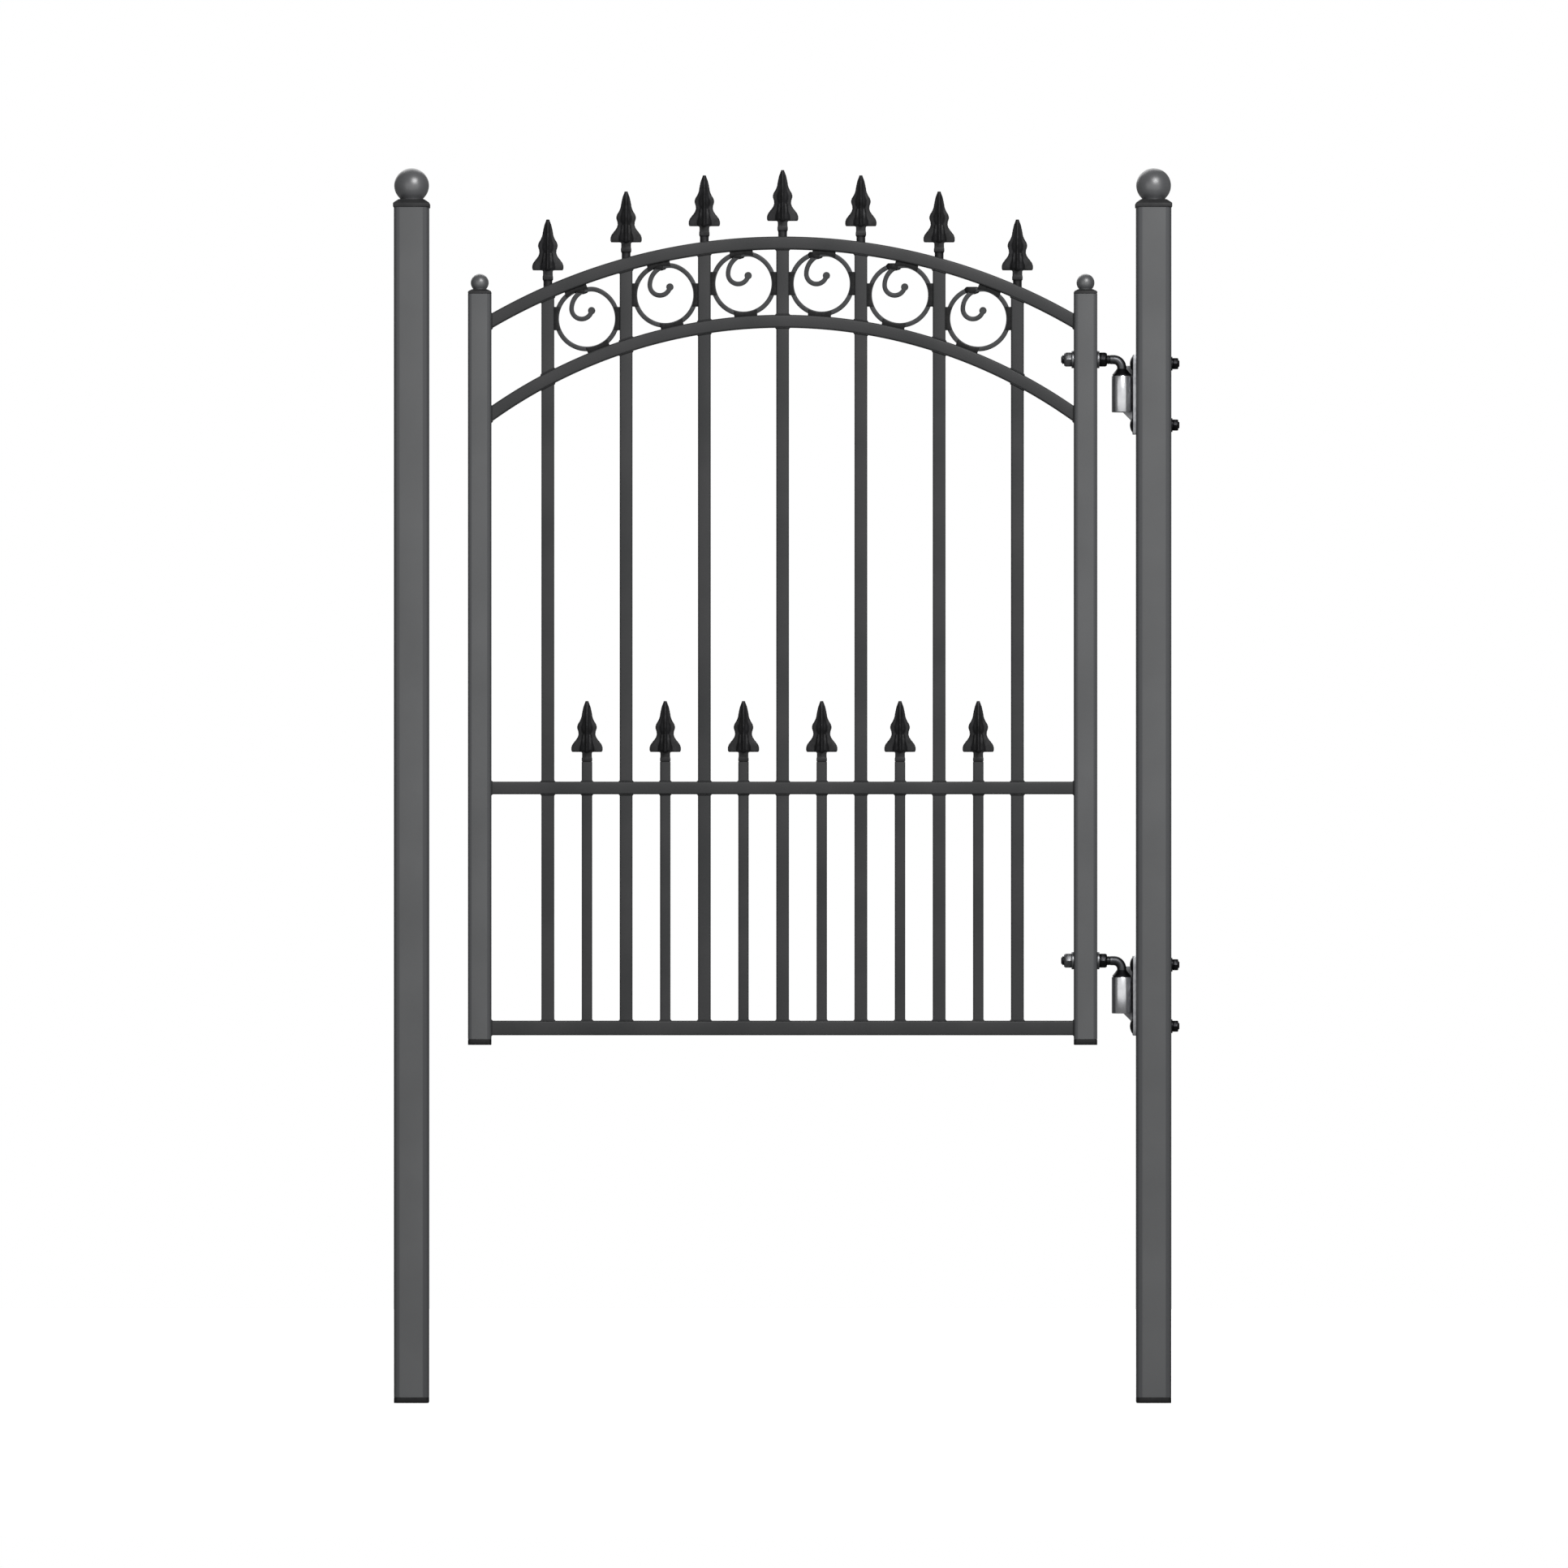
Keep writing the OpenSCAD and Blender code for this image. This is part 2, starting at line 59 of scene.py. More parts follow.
BEND = 0.014
BARREL_DROP = 0.028
COLLAR_TOP = 0.016
BOLT_DROPS = (0.007, 0.113)
PLATE = 0.006
WEB = 0.005
WEB_REACH = 0.016
WEB_TOP = 0.010
WEB_LOW = 0.091
ROD_PITCH = 0.002
BOLT = 0.012
BOLT_PITCH = 0.00175
THREAD_DEPTH = 0.0008
ARM_THREAD = 0.083                # length of the thread on a J-bolt's arm
RUNNING_FIT = 0.00008             # between a J-bolt's leg and the barrel's bore
BORE_FIT = 0.0001                 # between a rod and its nuts and washers
COLLAR_R = 0.016
BARREL_WELD = 0.056

# Nuts and washers: on the J-bolts, then on the plate bolts
NUT_FLATS = 0.024
NUT_H = 0.013
WASHER_R = 0.015
WASHER_H = 0.004
SMALL_NUT_FLATS = 0.019
SMALL_NUT_H = 0.010
SMALL_WASHER_R = 0.012
SMALL_WASHER_H = 0.0025
BOLT_STANDS_OUT = 0.002           # a plate bolt's end beyond its nut

# Arched rails: the middle lines are arcs round one centre
RAIL_H = 0.022
RAIL_D = 0.026
RAIL_CORNER = 0.003
ARCH_Z = 0.995
ARCH_R = {"top_arch_rail": 1.005, "lower_arch_rail": 0.870}

# Scroll bar: a ring that leaves its own circle and curls in, with angles in degrees from +X
BAR = 0.008
BAR_D = 0.012
RING_R = 0.0524
LEAVE_A = 66
FREE_A = 116
HOOK_A = 350
CURL_R = 0.65 * RING_R
HOOK_R = 0.333 * RING_R
CURL_AT = ((RING_R - CURL_R) * cos(radians(LEAVE_A)), (RING_R - CURL_R) * sin(radians(LEAVE_A)))
HOOK_AT = (CURL_AT[0] - CURL_R + HOOK_R, CURL_AT[1])
KNOB = 0.0126
CURL_WELD_AT = (-0.011, 0, 0.0475)    # from the ring's centre
PAD_LENGTH = 0.040

POST_CORNER = 0.007
STILE_CORNER = 0.005
PICKET_CORNER = 0.003
PICKET = 0.022
SHORT_PICKET = 0.018
SPEAR_DROP = 0.105                # from a spear's tip to the foot of its socket
SOCKET = 0.018
FILLET = 0.0024                   # leg of a fillet weld


# ---- modelling by hand, in code ----

def only(piece):
    """Selects this object alone and makes it the active one."""
    bpy.ops.object.select_all(action="DESELECT")
    piece.select_set(True)
    bpy.context.view_layer.objects.active = piece


def take(name):
    """Names the object that was just added or copied."""
    piece = bpy.context.active_object
    piece.name = name
    piece.data.name = name
    return piece


def apply_place(piece):
    only(piece)
    bpy.ops.object.transform_apply(location=True, rotation=True, scale=True)


def pick(piece, test):
    """In edit mode, selects only the faces whose middle and normal pass the test."""
    bpy.ops.mesh.select_mode(type="FACE")
    bpy.ops.mesh.select_all(action="DESELECT")
    shape = bmesh.from_edit_mesh(piece.data)
    for face in shape.faces:
        face.select = test(face.calc_center_median(), face.normal)
    shape.select_flush_mode()
    bmesh.update_edit_mesh(piece.data)


def round_sides(piece, corner, along=None):
    """In edit mode, rounds the four edges that run along the piece's length, or as told."""
    bpy.ops.mesh.select_mode(type="EDGE")
    bpy.ops.mesh.select_all(action="DESELECT")
    shape = bmesh.from_edit_mesh(piece.data)
    runs = {edge: edge.verts[0].co - edge.verts[1].co for edge in shape.edges}
    along = along or max(runs.values(), key=lambda run: run.length).normalized()
    for edge, run in runs.items():
        edge.select = abs(run.normalized().dot(along)) > 0.9
    bmesh.update_edit_mesh(piece.data)
    bpy.ops.mesh.bevel(offset=corner, segments=5)


def face_out():
    """In edit mode, merges what coincides and turns every face outwards."""
    bpy.ops.mesh.select_all(action="SELECT")
    bpy.ops.mesh.remove_doubles(threshold=0.000002)
    bpy.ops.mesh.normals_make_consistent(inside=False)


def modified(piece, kind, **settings):
    """Adds a modifier and applies it."""
    modifier = piece.modifiers.new(kind.title(), kind)
    for name, value in settings.items():
        setattr(modifier, name, value)
    only(piece)
    bpy.ops.object.modifier_apply(modifier=modifier.name)
    return piece


def bevelled(piece, width, segments=2, angle=40):
    return modified(piece, "BEVEL", width=width, segments=segments, limit_method="ANGLE",
        angle_limit=radians(angle))


def combined(piece, other, operation):
    """Unites, cuts or intersects the piece with the other, which is used up."""
    modified(piece, "BOOLEAN", operation=operation, object=other, solver="EXACT")
    bpy.data.objects.remove(other)
    return piece


def joined(name, pieces):
    bpy.ops.object.select_all(action="DESELECT")
    for piece in pieces:
        piece.select_set(True)
    bpy.context.view_layer.objects.active = pieces[0]
    bpy.ops.object.join()
    return take(name)


def copied(piece, name, shift):
    """A copy with its own mesh, moved by shift."""
    only(piece)
    bpy.ops.object.duplicate(linked=False)
    twin = take(name)
    bpy.ops.transform.translate(value=shift)
    return twin


def drawn(name, sections, sides, axis="Z", at=(0, 0, 0), turn=0):
    """A solid drawn out of a disc, from one (half width, half depth, height) to the next.

    It is drawn up Z, then laid along X where axis says so, and moved to its place. With turn at
    pi / 4 and four sides it is a square one, whose half widths run to its corners."""
    wide, deep, low = sections[0]
    bpy.ops.object.select_all(action="DESELECT")
    bpy.ops.mesh.primitive_circle_add(vertices=sides, radius=1, fill_type="NGON",
        location=(0, 0, low), rotation=(0, 0, turn))
    piece = take(name)
    apply_place(piece)
    bpy.ops.object.mode_set(mode="EDIT")
    bpy.ops.mesh.select_all(action="SELECT")
    bpy.ops.transform.resize(value=(wide, deep, 1), center_override=(0, 0, low))
    for (w0, d0, z0), (w1, d1, z1) in zip(sections, sections[1:]):
        bpy.ops.mesh.extrude_region_move(TRANSFORM_OT_translate={"value": (0, 0, z1 - z0)})
        bpy.ops.transform.resize(value=(w1 / w0, d1 / d0, 1), center_override=(0, 0, z1))
    face_out()
    bpy.ops.object.mode_set(mode="OBJECT")
    if axis == "X":
        piece.rotation_euler = (0, pi / 2, 0)
    piece.location = at
    apply_place(piece)
    return piece


def turned(name, profile, sides=40, axis="Z", at=(0, 0, 0)):
    """A round solid from its (radius, height) profile."""
    return drawn(name, [(r, r, z) for r, z in profile], sides, axis, at)


def boxed(name, low, high):
    """A box between two corners, ready to be shaped."""
    bpy.ops.object.select_all(action="DESELECT")
    size = Vector(high) - Vector(low)
    bpy.ops.mesh.primitive_cube_add(size=1, location=(Vector(low) + Vector(high)) / 2)
    piece = take(name)
    piece.scale = size
    apply_place(piece)
    return piece


def section(name, wide, deep, place, rotation):
    """One flat rectangle, the cross section that a bar or rail is spun from."""
    bpy.ops.object.select_all(action="DESELECT")
    bpy.ops.mesh.primitive_plane_add(size=1, location=place, rotation=rotation)
    piece = take(name)
    piece.scale = (wide, deep, 1)
    apply_place(piece)
    return piece


def ring(name, inner, outer, height, chamfer, sides=40, at=(0, 0, 0)):
    """A ring that stands on its place: its bevelled section is spun once round Z."""
    piece = section(name, outer - inner, height, ((inner + outer) / 2, 0, height / 2),
        (pi / 2, 0, 0))
    bpy.ops.object.mode_set(mode="EDIT")
    bpy.ops.mesh.select_all(action="SELECT")
    bpy.ops.mesh.bevel(offset=chamfer, affect="VERTICES", segments=2)
    bpy.ops.mesh.delete(type="ONLY_FACE")
    bpy.ops.mesh.select_all(action="SELECT")
    bpy.ops.mesh.spin(steps=sides, angle=2 * pi, center=(0, 0, 0), axis=(0, 0, 1))
    face_out()
    bpy.ops.object.mode_set(mode="OBJECT")
    piece.location = at
    apply_place(piece)
    return piece


def thread(radius, pitch, start, length):
    """Profile of a thread: a groove at each pitch stands for its helix."""
    count = int(length / pitch)
    profile = []
    for k in range(count):
        profile.append((radius, start + k * pitch + 0.2 * pitch))
        profile.append((radius - THREAD_DEPTH, start + (k + 0.6) * pitch))
        profile.append((radius, start + (k + 1) * pitch))
    return profile


def middle(name):
    low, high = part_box(name)
    return (low + high) / 2


# ---- finishes ----

def linear(hex_code):
    """An sRGB hex colour as the linear values that a shader takes."""
    shares = [int(hex_code[k:k + 2], 16) / 255 for k in (1, 3, 5)]
    return [c / 12.92 if c <= 0.04045 else ((c + 0.055) / 1.055) ** 2.4 for c in shares] + [1]


def add(tree, kind, inputs=(), **settings):
    """Adds a node, sets its properties, and fills or wires its inputs."""
    made = tree.nodes.new(kind)
    for name, value in settings.items():
        setattr(made, name, value)
    for socket, value in dict(inputs).items():
        if isinstance(value, bpy.types.NodeSocket):
            tree.links.new(value, made.inputs[socket])
        else:
            made.inputs[socket].default_value = value
    return made


def finish(name, colour, tint, patch, grain, depth, roughness, metallic=0.0, stretch=(1, 1, 1),
        specular=0.35, coat=0.0):
    """A metal, paint or plastic surface with two scales of variation.

    colour shifts to tint in patches as wide as patch, and the surface has bumps as wide as grain
    and as deep as depth. roughness is the range that the bumps and patches spread over. A
    stretch under 1 draws the grain out along X, Y or Z, as turning and drawing do."""
    material = bpy.data.materials.new(name)
    material.use_nodes = True
    tree = material.node_tree
    shader = tree.nodes["Principled BSDF"]
    shader.inputs["Metallic"].default_value = metallic
    shader.inputs["Specular IOR Level"].default_value = 0.5 if metallic else specular
    shader.inputs["Coat Weight"].default_value = coat
    shader.inputs["Coat Roughness"].default_value = 0.36
    place = add(tree, "ShaderNodeTexCoord").outputs["Object"]
    squeezed = add(tree, "ShaderNodeMapping", {"Vector": place, "Scale": stretch}).outputs[0]
    clouds = add(tree, "ShaderNodeTexNoise", {"Vector": place, "Scale": 1 / patch, "Detail": 3.0})
    grains = add(tree, "ShaderNodeTexNoise",
        {"Vector": squeezed, "Scale": 1 / grain, "Detail": 2.0, "Roughness": 0.55})
    mask = add(tree, "ShaderNodeMapRange",
        {"Value": clouds.outputs[0], "From Min": 0.35, "From Max": 0.68})
    mixed = add(tree, "ShaderNodeMix", {"Factor": mask.outputs[0], 6: linear(colour),
        7: linear(tint)}, data_type="RGBA")
    tree.links.new(mixed.outputs[2], shader.inputs["Base Color"])
    both = add(tree, "ShaderNodeMath", {0: grains.outputs[0], 1: clouds.outputs[0]},
        operation="MULTIPLY")
    gloss = add(tree, "ShaderNodeMapRange", {"Value": both.outputs[0], "From Min": 0.12,
        "From Max": 0.4, "To Min": roughness[0], "To Max": roughness[1]})
    tree.links.new(gloss.outputs[0], shader.inputs["Roughness"])
    bump = add(tree, "ShaderNodeBump", {"Height": grains.outputs[0], "Distance": depth,
        "Strength": 1.0})
    tree.links.new(bump.outputs[0], shader.inputs["Normal"])
    return material


def painted_corner_shade(material, colour):
    """Darkens the outer sixth of each side of a square tube, down its four corners: painted shade
    where the rounded corners turn away from the front light.
    """
    tree = material.node_tree
    shader = tree.nodes["Principled BSDF"]
    plain = shader.inputs["Base Color"].links[0].from_socket
    place = add(tree, "ShaderNodeTexCoord").outputs["Generated"]
    parts = add(tree, "ShaderNodeSeparateXYZ", {0: place})
    off_centre = [add(tree, "ShaderNodeMath", {0: parts.outputs[k], 1: 0.5}, operation="SUBTRACT")
        for k in (0, 1)]
    spans = [add(tree, "ShaderNodeMath", {0: off.outputs[0]}, operation="ABSOLUTE")
        for off in off_centre]
    nearest = add(tree, "ShaderNodeMath", {0: spans[0].outputs[0], 1: spans[1].outputs[0]},
        operation="MINIMUM")
    mask = add(tree, "ShaderNodeMapRange", {"Value": nearest.outputs[0], "From Min": 0.31,
        "From Max": 0.36}, interpolation_type="SMOOTHSTEP")
    mixed = add(tree, "ShaderNodeMix", {"Factor": mask.outputs[0], 6: plain, 7: linear(colour)},
        data_type="RGBA")
    tree.links.new(mixed.outputs[2], shader.inputs["Base Color"])


FINISH = {
    # Polyester powder coat on drawn tube: an even grey with a faint orange peel about 2 mm
    # across and a soft sheen.
    "frame_tube": finish("grey powder coat on frame tube", "#676869", "#606162",
        patch=0.16, grain=0.002, depth=0.00002, roughness=(0.45, 0.55)),
    # Powder coat over lighter tube, a darker grey than the frame's.
    "infill_tube": finish("anthracite powder coat on infill tube", "#3d3d3e", "#343536",
        patch=0.12, grain=0.0018, depth=0.00002, roughness=(0.45, 0.55)),
    # Powder coat over bent bar: thicker in the curls, so the peel is coarser.
    "scroll_bar": finish("anthracite powder coat on bent bar", "#434446", "#363738",
        patch=0.02, grain=0.0014, depth=0.00004, roughness=(0.42, 0.55)),
    # Weld metal under the coat: rough, and painted near black, partly the weld's own dark coat and
    # partly painted shade for the shadow in the wedges beside the scroll rings.
    "weld": finish("coated weld metal darkened as shade", "#1d1d1e", "#141415",
        patch=0.006, grain=0.0012, depth=0.0001, roughness=(0.5, 0.66), specular=0.25),
    # Powder coat over grey cast iron: the sand's 1 mm grain shows through.
    "cast_spear": finish("black powder coat on sand-cast iron", "#28282a", "#171718",
        patch=0.014, grain=0.0011, depth=0.00016, roughness=(0.42, 0.62)),
    # Thick enamel over a ground casting: glossier than powder, so the key lamp shows in it.
    "ball_cap": finish("grey stoved enamel on cast iron", "#5c5d5f", "#525355",
        patch=0.03, grain=0.0016, depth=0.000012, roughness=(0.34, 0.42), specular=1.0, coat=1.0),
    # The cap's base, matt and painted near black: painted shade for the shadow under the ball.
    "cap_base": finish("cast iron painted near black as shade", "#343435", "#29292a",
        patch=0.02, grain=0.001, depth=0.00003, roughness=(0.5, 0.6), specular=0.3),
    # Polyethylene plug from a lightly eroded mould: matt, with no change of colour.
    "foot_plug": finish("black moulded polyethylene", "#1c1c1d", "#161617",
        patch=0.03, grain=0.0007, depth=0.00003, roughness=(0.5, 0.64), specular=0.3),
    # Hot-dip galvanised plate, dulled: mid grey with spangle patches of about 8 mm.
    "hinge_plate": finish("dull galvanised steel plate", "#b0b1b3", "#97989b",
        patch=0.008, grain=0.0012, depth=0.00003, roughness=(0.42, 0.58), metallic=1.0),
    # Turned and zinc-plated bush: bright, with fine rings round it 0.5 mm apart.
    "hinge_barrel": finish("zinc-plated turned steel", "#eaebed", "#d9dadd",
        patch=0.02, grain=0.0005, depth=0.000008, roughness=(0.2, 0.27),
        metallic=1.0, stretch=(0.05, 0.05, 1)),
    # Bright drawn bar, blackened and oiled: drawing lines run along its arm and its leg.
    "j_bolt": finish("oiled black drawn bar", "#5a5b5d", "#48494b",
        patch=0.02, grain=0.0006, depth=0.00002, roughness=(0.3, 0.42),
        metallic=1.0, stretch=(0.08, 1, 0.08)),
    # Stamped washer, zinc-plated and dulled: mid grey.
    "washer": finish("dull zinc-plated steel", "#8c8d8f", "#737476",
        patch=0.006, grain=0.0005, depth=0.00002, roughness=(0.34, 0.46), metallic=1.0),
    # Black-oxide fasteners: near black with an oily gloss.
    "dark_fastener": finish("black-oxide steel", "#343436", "#252527",
        patch=0.006, grain=0.0006, depth=0.00002, roughness=(0.3, 0.44), metallic=1.0),
}
# Painted shade: the frame tubes are coloured darker down their corners, where the rounded corners
# turn away from the front light.
painted_corner_shade(FINISH["frame_tube"], "#505153")


def settle(piece, body, slot, *nodes, smooth=35, look=None):
    """Fixes a finished piece to its body, with its place in its mesh and its finish on."""
    apply_place(piece)
    bpy.ops.object.shade_smooth_by_angle(angle=radians(smooth))
    piece.data.materials.clear()
    piece.data.materials.append(FINISH[look or slot])
    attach(piece, body)
    if nodes:
        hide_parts(*nodes)


# ---- straight tubes ----

def tubes(body, slot, corner, *nodes):
    """Square tubes with their drawn corners; caps, plugs and joints cover their ends."""
    for node in nodes:
        tube = boxed(node + "_tube", *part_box(node))
        bpy.ops.object.mode_set(mode="EDIT")
        round_sides(tube, corner)
        bpy.ops.object.mode_set(mode="OBJECT")
        settle(tube, body, slot, node)


# ---- caps and plugs ----

def ball_cap(node, body, neck, ball, shoulder):
    """A square base with a low pyramid on it, then a coved neck and a ball.

    neck and ball are widths, and shoulder sets the heights of the base and the pyramid."""
    low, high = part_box(node)
    centre = middle(node)
    tube_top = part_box(node.replace("_ball_cap", ""))[1].z
    base_top = tube_top + 0.62 * shoulder
    base = boxed(node + "_base", (low.x, low.y, tube_top), (high.x, high.y, base_top))
    bpy.ops.object.mode_set(mode="EDIT")
    pick(base, lambda at, normal: normal.z > 0.9)
    bpy.ops.mesh.extrude_region_move(TRANSFORM_OT_translate={"value": (0, 0, shoulder * 0.55)})
    rise = 1.16 * neck / (high.x - low.x)
    bpy.ops.transform.resize(value=(rise, rise, 1), center_override=(centre.x, centre.y, base_top))
    bpy.ops.object.mode_set(mode="OBJECT")
    bevelled(base, 0.0014, 3, 20)
    # The base takes the near-black finish, which is painted shade under the ball.
    settle(base, body, "ball_cap", node, smooth=30, look="cap_base")
    middle_z = high.z - ball / 2
    foot = base_top + shoulder * 0.5
    start = -sqrt(1 - (0.94 * neck / ball) ** 2)
    profile = [(neck * 0.56, foot), (neck * 0.52, foot + shoulder * 0.1)]
    rings = 20
    for k in range(rings):
        angle = asin(start) + (pi / 2 - asin(start)) * k / rings
        height = middle_z + ball / 2 * sin(angle)
        if height > foot + shoulder * 0.14:
            profile.append((ball / 2 * cos(angle), height))
    profile.append((0.0006, middle_z + ball / 2))
    knob = turned(node + "_ball", profile, 64, at=(centre.x, centre.y, 0))
    settle(knob, body, "ball_cap", node, smooth=40)


def foot_plug(node, body, corner):
    """The plug's flange: rounded like its tube, with a slim neck where it meets the tube."""
    low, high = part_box(node)
    tube_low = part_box(node.replace("_foot_plug", ""))[0].z
    neck = 0.0008
    plug = boxed(node + "_cup", low, (high.x, high.y, tube_low - neck))
    bpy.ops.object.mode_set(mode="EDIT")
    round_sides(plug, corner, Vector((0, 0, 1)))
    pick(plug, lambda at, normal: normal.z > 0.9)
    bpy.ops.mesh.inset(thickness=0.0006)
    bpy.ops.mesh.extrude_region_move(TRANSFORM_OT_translate={"value": (0, 0, neck)})
    pick(plug, lambda at, normal: normal.z < -0.9)
    bpy.ops.mesh.inset(thickness=0.003)
    bpy.ops.mesh.extrude_region_move(TRANSFORM_OT_translate={"value": (0, 0, 0.002)})
    face_out()
    bpy.ops.object.mode_set(mode="OBJECT")
    bevelled(plug, 0.0006, 2, 60)
    settle(plug, body, "foot_plug", node)


# ---- arched rails, scrolls and spears ----

def arch_rail(node):
    """A rounded section spun round the arches' centre and trimmed flush with the stiles."""
    low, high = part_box(node)
    centre = (middle(node).x, 0, ARCH_Z)
    half = 0.68                   # radians each way, enough to pass through both stiles' faces
    place = (centre[0] + ARCH_R[node] * sin(half), 0, ARCH_Z + ARCH_R[node] * cos(half))
    rail = section(node + "_tube", RAIL_H, RAIL_D, place, (0, half - pi / 2, 0))
    bpy.ops.object.mode_set(mode="EDIT")
    bpy.ops.mesh.select_all(action="SELECT")
    bpy.ops.mesh.bevel(offset=RAIL_CORNER, affect="VERTICES", segments=4)
    bpy.ops.mesh.select_all(action="SELECT")
    bpy.ops.mesh.spin(steps=120, angle=2 * half, center=centre, axis=(0, 1, 0))
    for edge_x, outwards in ((low.x, -1), (high.x, 1)):
        bpy.ops.mesh.select_all(action="SELECT")
        bpy.ops.mesh.bisect(plane_co=(edge_x, 0, 0), plane_no=(outwards, 0, 0), use_fill=True,
            clear_outer=True)
    face_out()
    bpy.ops.object.mode_set(mode="OBJECT")
    settle(rail, "leaf", "infill_tube", node)


def scroll_pattern():
    """The bar's end is spun round the ring, then round the curl, then round the hook."""
    angle = radians(FREE_A)
    bar = section("scroll_pattern", BAR, BAR_D,
        (RING_R * cos(angle), 0, RING_R * sin(angle)), (0, -angle, 0))
    bpy.ops.object.mode_set(mode="EDIT")
    bpy.ops.mesh.select_all(action="SELECT")
    bpy.ops.mesh.bevel(offset=0.0012, affect="VERTICES", segments=2)
    bpy.ops.mesh.select_all(action="SELECT")
    for at, sweep, steps in (((0, 0), 360 + LEAVE_A - FREE_A, 72),
            (CURL_AT, 180 - LEAVE_A, 24), (HOOK_AT, HOOK_A - 180, 24)):
        bpy.ops.mesh.spin(steps=steps, angle=radians(sweep), center=(at[0], 0, at[1]),
            axis=(0, 1, 0))
    face_out()
    bpy.ops.object.mode_set(mode="OBJECT")
    hook = radians(HOOK_A)
    knob = turned("scroll_knob", [(KNOB * 0.42, -BAR_D * 0.5), (KNOB * 0.5, -BAR_D * 0.38),
        (KNOB * 0.5, BAR_D * 0.38), (KNOB * 0.42, BAR_D * 0.5)], 24)
    knob.rotation_euler = (pi / 2, 0, 0)
    knob.location = (HOOK_AT[0] + HOOK_R * cos(hook), 0, HOOK_AT[1] + HOOK_R * sin(hook))
    apply_place(knob)
    return combined(bar, knob, "UNION")


def weld_run(name, length, wide, deep):
    """A straight weld run along Z, with a ripple for each drop of weld metal."""
    drop_length = 0.003
    ripples = int(length / drop_length)
    sections = []
    for k in range(2 * ripples + 1):
        share = k / (2 * ripples)
        swell = sqrt(max(0.08, 1 - (2 * share - 1) ** 4)) * (1 if k % 2 else 0.88)
        sections.append((wide / 2 * swell, deep / 2 * swell, (share - 0.5) * length))
    return drawn(name, sections, 10)


def weld_pad(reach, length):
    """Weld metal that fills both wedges between a scroll's ring and the face beside it.

    The ring's centre is the origin and the face lies across X, at reach. The metal is
    thinnest where ring and face touch, and its ripples run across it."""
    drops = 14
    half_deep = BAR_D / 2 + 0.0009
    pad = boxed("weld_pad", (reach - 0.012, -half_deep, -length / 2),
        (reach + 0.0004, half_deep, length / 2))
    bpy.ops.object.mode_set(mode="EDIT")
    for k in range(1, drops):
        bpy.ops.mesh.select_all(action="SELECT")
        bpy.ops.mesh.bisect(plane_co=(0, 0, length * (k / drops - 0.5)), plane_no=(0, 0, 1))
    pick(pad, lambda at, normal: abs(normal.y) > 0.9
        and int((at.z / length + 0.5) * drops) % 2)
    bpy.ops.transform.resize(value=(1, 1.09, 1), center_override=(reach, 0, 0))
    bpy.ops.object.mode_set(mode="OBJECT")
    inside = reach - 0.0062
    hollow = turned("weld_hollow", [(inside, -BAR_D), (inside, BAR_D)], 96)
    hollow.rotation_euler = (pi / 2, 0, 0)
    apply_place(hollow)
    combined(pad, hollow, "DIFFERENCE")
    return bevelled(pad, 0.0011, 2, 30)


def scrolls():
    """Six scrolls, each welded to two pickets and to both arches, and at the root of its curl."""
    pattern = scroll_pattern()
    reach = RING_R + BAR / 2
    pad = weld_pad(reach, PAD_LENGTH)
    lump = drawn("weld_lump", [(0.005, 0.004, -0.0055), (0.0115, 0.0066, -0.0035),
        (0.0142, 0.0074, 0), (0.0135, 0.0070, 0.0038), (0.010, 0.0055, 0.0072)], 14)
    for k in range(1, 7):
        node = f"scroll_{k}"
        low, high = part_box(node)
        centre = Vector(((low.x + high.x) / 2, 0, low.z + reach))
        settle(copied(pattern, node + "_bar", centre), "leaf", "scroll_bar", node)
        lean = atan2(centre.z - ARCH_Z, centre.x - middle("top_arch_rail").x)
        pads = [copied(lump, node + "_curl_weld", centre + Vector(CURL_WELD_AT))]
        for side, angle in enumerate((0, pi, lean, lean + pi)):
            weld = copied(pad, f"{node}_weld_{side}", (0, 0, 0))
            weld.rotation_euler = (0, -angle, 0)
            weld.location = centre
            apply_place(weld)
            pads.append(weld)
        # The scroll welds take the near-black weld finish, which is partly painted shade for the
        # wedges' shadow.
        settle(joined(node + "_welds", pads), "leaf", "scroll_bar", look="weld")
    for used in (pattern, pad, lump):
        bpy.data.objects.remove(used)


def fillet(name, half_x, half_y, turn, at):
    """A square fillet round a tube: it stands on the tube's neighbour and leans on the tube."""
    steps = ((FILLET, -0.0004), (FILLET * 0.5, FILLET * 0.4), (0.0002, FILLET))
    sections = [((half_x + out) * sqrt(2), (half_y + out) * sqrt(2), z) for out, z in steps]
    bead = drawn(name, sections, 4, turn=pi / 4)
    bead.rotation_euler = (0, turn, 0)
    bead.location = at
    apply_place(bead)
    return bead


